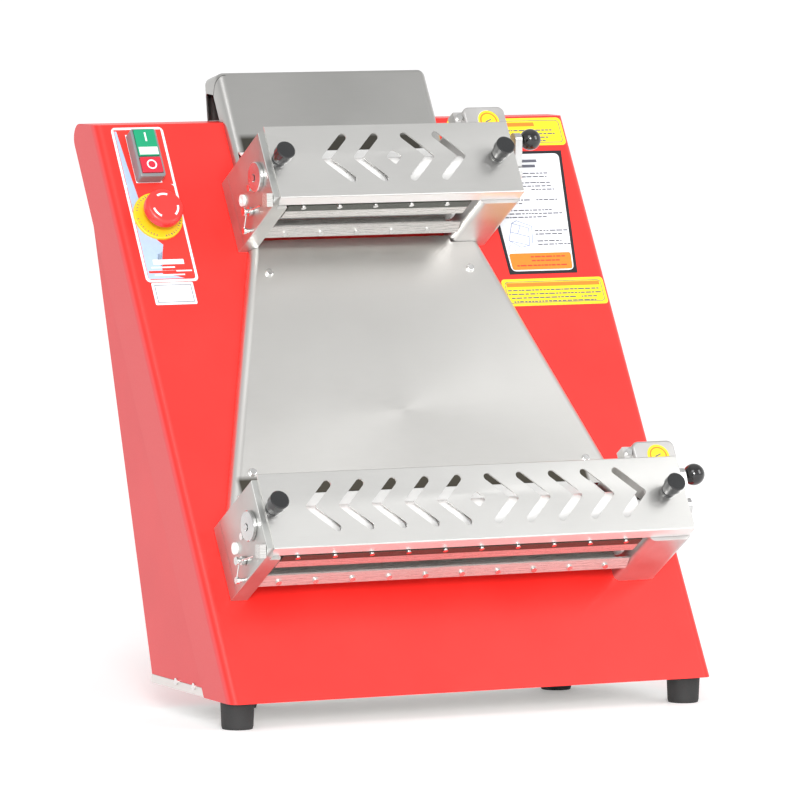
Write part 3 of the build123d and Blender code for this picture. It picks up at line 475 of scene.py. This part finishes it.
def control_panel():
    """Red and pale panel under the push buttons, and the small plate below it."""
    sheet = Print()
    x0, x1, s0, s1 = -248.5, -191.5, 465.0, 641.4
    layer = TOP - 0.01
    sheet.area(rounded(x0 + 2.6, x1 - 2.6, s0 + 2.6, 575.6, 3.4), layer, TOP + STEP, INK_RED)
    sheet.frame(rectangle(x0 + 2.6, x1 - 2.6, 575.6, s1 - 2.6), rectangle(-234.3, -205.7, 577.7, 633.0),
                layer, TOP + STEP, INK_RED)
    # pale field along the left edge
    edge = [(-243.0, 637.0), (-240.0, 600.0), (-236.0, 560.0), (-231.0, 530.0), (-226.0, 512.0),
            (-221.0, 507.0), (-223.5, 499.0), (-229.5, 496.0), (-231.5, 488.0), (-228.0, 481.0),
            (-229.0, 474.0)]
    outline = edge + [(-214.0, 471.0), (-206.0, 468.5), (x0 + 4.0, 468.5), (x0 + 3.2, 470.0), (x0 + 3.2, 637.0)]
    sheet.area(outline, TOP, TOP + 2 * STEP, INK_BLUE)
    # plain title bars
    sheet.area(rectangle(-236.5, -203.0, 484.6, 490.2), TOP, TOP + 3 * STEP, WHITE)
    sheet.area(rectangle(-235.3, -204.2, 485.6, 489.2), TOP, TOP + 4 * STEP, INK_PALE)
    for k, (left, right) in enumerate(((-240.0, -214.0), (-242.0, -196.5), (-238.0, -205.0))):
        s = 480.6 - 4.3 * k
        sheet.area(rectangle(left, right, s, s + 1.5), TOP, TOP + 3 * STEP, WHITE)
    sheet.area(rectangle(-243.5, -213.5, 475.0, 477.6), TOP, TOP + 4 * STEP, INK_RED)
    # small plate under the panel
    x0, x1, s0, s1 = -244.0, -198.8, 439.3, 464.1
    sheet.frame(rectangle(x0 + 2.8, x1 - 2.4, s0 + 2.4, s1 - 2.4),
                rectangle(x0 + 3.6, x1 - 3.2, s0 + 3.2, s1 - 3.2), TOP - 0.01, TOP + STEP, INK_GREY)
    sheet.build("control_panel_print", "frame")


def notice(name, x0, x1, s0, s1, title, rows, seed):
    """Yellow notice with a frame line, a title bar (x0, x1, s) and rows of dashes."""
    sheet = Print()
    sheet.area(rounded(x0 + 0.4, x1 - 0.4, s0 + 0.4, s1 - 0.4, 4.6), TOP - 0.01, TOP + STEP, INK_YELLOW)
    sheet.frame(rounded(x0 + 3.0, x1 - 3.0, s0 + 3.0, s1 - 3.0, 4.0),
                rounded(x0 + 3.7, x1 - 3.7, s0 + 3.7, s1 - 3.7, 3.4), TOP, TOP + 2 * STEP, INK_GREY)
    sheet.area(rectangle(*title, title[2] + 4.6), TOP, TOP + 2 * STEP, INK_ORANGE)
    for k, (left, right, s) in enumerate(rows):
        dashes(sheet, left, right, s, 1.5, TOP + STEP - 0.01, INK_GREY, seed + k)
    sheet.build(name, "frame")


def instruction_plate():
    """White plate with a black border, rows of dashes, a line drawing and an orange band."""
    sheet = Print()
    outer = [(155.4, 461.4), (232.2, 461.4), (250.0, 603.6), (155.4, 603.6)]
    inner = [(158.4, 464.4), (229.4, 464.4), (246.6, 600.6), (158.4, 600.6)]
    sheet.area(softened(outer, 8.0), TOP - 0.01, TOP + STEP, INK)
    sheet.area(softened(inner, 6.0), TOP, TOP + 2 * STEP, WHITE)
    n = TOP + 2 * STEP - 0.01
    sheet.area(rectangle(176.0, 219.0, 590.5, 594.0), n, n + 0.05, INK_GREY)
    sheet.area(rectangle(176.0, 216.0, 584.5, 588.0), n, n + 0.05, INK_GREY)
    rows = [(162, 228, 577), (162, 226, 573), (162, 228, 566), (162, 230, 562), (162, 231, 558),
            (162, 234, 546), (162, 190, 542), (162, 222, 534), (162, 233, 530), (162, 214, 526),
            (196, 234, 510), (196, 232, 506), (196, 224, 498), (196, 234, 494)]
    for k, (left, right, s) in enumerate(rows):
        dashes(sheet, left, right, s, 1.5, n, INK_GREY, 40 + k)
    # generic line drawing of a box, with a ring under it
    lines = [((164, 500), (172, 520)), ((172, 520), (190, 514)), ((190, 514), (186, 494)),
             ((186, 494), (164, 500)), ((164, 500), (176, 492)), ((176, 492), (186, 494)),
             ((172, 520), (178, 523)), ((178, 523), (194, 516)), ((194, 516), (190, 496)),
             ((168, 510), (188, 504)), ((176, 508), (181, 517))]
    for start, end in lines:
        sheet.area(stroke(start, end, 0.7), n, n + 0.05, INK_LINE)
    sheet.frame(arc_points((166, 491.5), 4.0), arc_points((166, 491.5), 3.5), n, n + 0.05, INK_LINE)
    band = [(159.8, 465.8), (228.2, 465.8), (230.6, 485.0), (159.8, 485.0)]
    sheet.area(softened(band, 3.0), n, n + 0.05, INK_ORANGE)
    for k, (left, s) in enumerate(((184, 480.0), (184, 475.5), (166, 470.0))):
        dashes(sheet, left, 223, s, 1.4, n + 0.045, INK_RED, 80 + k)
    sheet.build("instruction_print", "frame")


def arc_points(centre, radius, steps=28):
    return [(centre[0] + radius * math.cos(2 * math.pi * k / steps),
             centre[1] + radius * math.sin(2 * math.pi * k / steps)) for k in range(steps)]


def round_labels():
    """Round yellow label on each gear housing."""
    for head, centre in (("upper", (117.7, 583.0)), ("lower", (208.9, 198.5))):
        sheet = Print()
        low, high = 105.99, 106.03
        sheet.area(arc_points(centre, 11.8, 40), low, high, INK_YELLOW)
        sheet.frame(arc_points(centre, 9.6, 40), arc_points(centre, 7.9, 40), low, high + 0.04, INK_ORANGE)
        sheet.area(stroke((centre[0] - 3.6, centre[1] - 1.2), (centre[0] + 3.0, centre[1] + 1.6), 1.3),
                   low, high + 0.04, INK_GREY)
        sheet.build(head + "_housing_print", "frame")


def stop_marks():
    """Three arcs on the emergency stop and plain ticks round its ring."""
    sheet = Print()
    centre = (-220.0, 538.6)
    for start in (70, 190, 310):
        sheet.area(arc_band(centre, 12.2, 14.4, start, start + 50), 24.44, 24.54, WHITE)
    sheet.build("estop_arrows", "estop_head")
    ring = Print()
    pick = random.Random(5)
    for k in range(44):
        if k % 11 in (0, 10):
            continue
        turn = math.radians(k * 360 / 44)
        inner, outer = 22.2, 24.2
        start = (centre[0] + inner * math.cos(turn), centre[1] + inner * math.sin(turn))
        end = (centre[0] + outer * math.cos(turn + pick.uniform(-0.02, 0.02)),
               centre[1] + outer * math.sin(turn + pick.uniform(-0.02, 0.02)))
        ring.area(stroke(start, end, pick.uniform(0.5, 1.1)), 3.46, 3.54, INK_GREY)
    ring.build("estop_ring_ticks", "frame")


def button_marks_and_highlight():
    """Generic on and off marks of the push buttons, and a white band across the start button that is a painted
    highlight.
    """
    start = Print()
    start.area(rectangle(-220.9, -219.1, 617.0, 627.0), 15.95, 16.05, WHITE)
    # Painted highlight: a white band across the start button.
    start.area(rectangle(-230.3, -209.7, 601.9, 610.4), 15.95, 16.05, WHITE)
    start.build("start_mark_and_highlight", "start_button")
    stop = Print()
    stop.frame(arc_points((-220.0, 590.5), 5.4), arc_points((-220.0, 590.5), 3.9), 15.95, 16.05, WHITE)
    stop.build("stop_mark", "stop_button")


control_panel()
notice("upper_notice_print", 128.0, 259.0, 610.45, 642.95, (158.0, 227.0, 633.0),
       [(140, 246, 627.5), (140, 250, 623.3), (144, 240, 619.1), (150, 236, 615.3)], 100)
notice("lower_notice_print", 143.0, 259.0, 424.5, 455.5, (148.0, 254.0, 446.4),
       [(148, 252, 441.6), (148, 254, 437.2), (150, 250, 432.8), (152, 246, 428.6)], 120)
instruction_plate()
round_labels()
stop_marks()
button_marks_and_highlight()


# ---------------------------------------------------------------- camera, light, floor
def add_camera():
    """Long lens from the photograph's side, a little above the machine's middle."""
    yaw, pitch, roll = math.radians(25.359), math.radians(4.877), math.radians(0.046)
    look = Vector((math.sin(yaw) * math.cos(pitch), math.cos(yaw) * math.cos(pitch), -math.sin(pitch)))
    right = Vector((math.cos(yaw), -math.sin(yaw), 0))
    up = right.cross(look)
    right, up = right * math.cos(roll) + up * math.sin(roll), up * math.cos(roll) - right * math.sin(roll)
    camera = bpy.data.objects.new("camera", bpy.data.cameras.new("camera"))
    scene.collection.objects.link(camera)
    target = Vector((-0.01229, FOOT.y + 0.150, 0.30443))
    place = target - look * 7.1147
    turn = Matrix((right, up, -look)).transposed().to_4x4()
    camera.matrix_world = Matrix.Translation(place) @ turn
    camera.data.lens = 319.16
    camera.data.sensor_width = 36
    camera.data.clip_end = 100
    scene.camera = camera


def add_area(name, place, aim, size, power):
    light = bpy.data.lights.new(name, "AREA")
    light.shape = "RECTANGLE"
    light.size, light.size_y = size
    light.energy = power
    holder = bpy.data.objects.new(name, light)
    holder.location = place
    holder.rotation_mode = "QUATERNION"
    holder.rotation_quaternion = (Vector(aim) - Vector(place)).to_track_quat("-Z", "Y")
    scene.collection.objects.link(holder)


def add_world():
    """Grey studio that is brighter below and overhead than at the horizon."""
    world = bpy.data.worlds.new("studio")
    scene.world = world
    world.use_nodes = True
    tree = world.node_tree
    background = tree.nodes["Background"]
    source = tree.nodes.new("ShaderNodeTexCoord")
    split = tree.nodes.new("ShaderNodeSeparateXYZ")
    ramp = tree.nodes.new("ShaderNodeValToRGB")
    tree.links.new(source.outputs["Generated"], split.inputs[0])
    tree.links.new(split.outputs["Z"], ramp.inputs["Fac"])
    stops = ((0.0, 1.0), (0.30, 1.0), (0.62, 0.66), (0.85, 0.66), (1.0, 0.9))
    while len(ramp.color_ramp.elements) < len(stops):
        ramp.color_ramp.elements.new(0.5)
    for element, (position, grey) in zip(ramp.color_ramp.elements, stops):
        element.position = position
        element.color = (grey, grey, grey, 1)
    tree.links.new(ramp.outputs["Color"], background.inputs["Color"])
    background.inputs["Strength"].default_value = 1.0


def add_floor():
    """Plain pale floor that gives off a little light, so that the background comes out white."""
    mesh = bpy.data.meshes.new("floor")
    size = 60
    corners = [(-size, -size, 0), (size, -size, 0), (size, size, 0), (-size, size, 0)]
    mesh.from_pydata(corners, [], [(0, 1, 2, 3)])
    floor = bpy.data.objects.new("floor", mesh)
    scene.collection.objects.link(floor)
    material, tree, shader = node_material("floor")
    shader.inputs["Base Color"].default_value = (0.97, 0.97, 0.97, 1)
    shader.inputs["Emission Color"].default_value = (1, 1, 1, 1)
    shader.inputs["Emission Strength"].default_value = 0.14
    shader.inputs["Roughness"].default_value = 0.7
    mesh.materials.append(material)


add_camera()
add_world()
add_floor()
add_area("key", (-1.6, -2.4, 2.6), (0, 0, 0.3), (1.6, 1.6), 30)
add_area("fill", (2.2, -2.2, 1.6), (0, 0, 0.3), (1.2, 1.8), 30)
sun = bpy.data.objects.new("sky", bpy.data.lights.new("sky", "SUN"))
sun.data.energy = 1.9
sun.data.angle = math.radians(14)
sun.rotation_euler = (math.radians(74), 0, math.radians(-22))
scene.collection.objects.link(sun)
scene.view_settings.view_transform = "Standard"
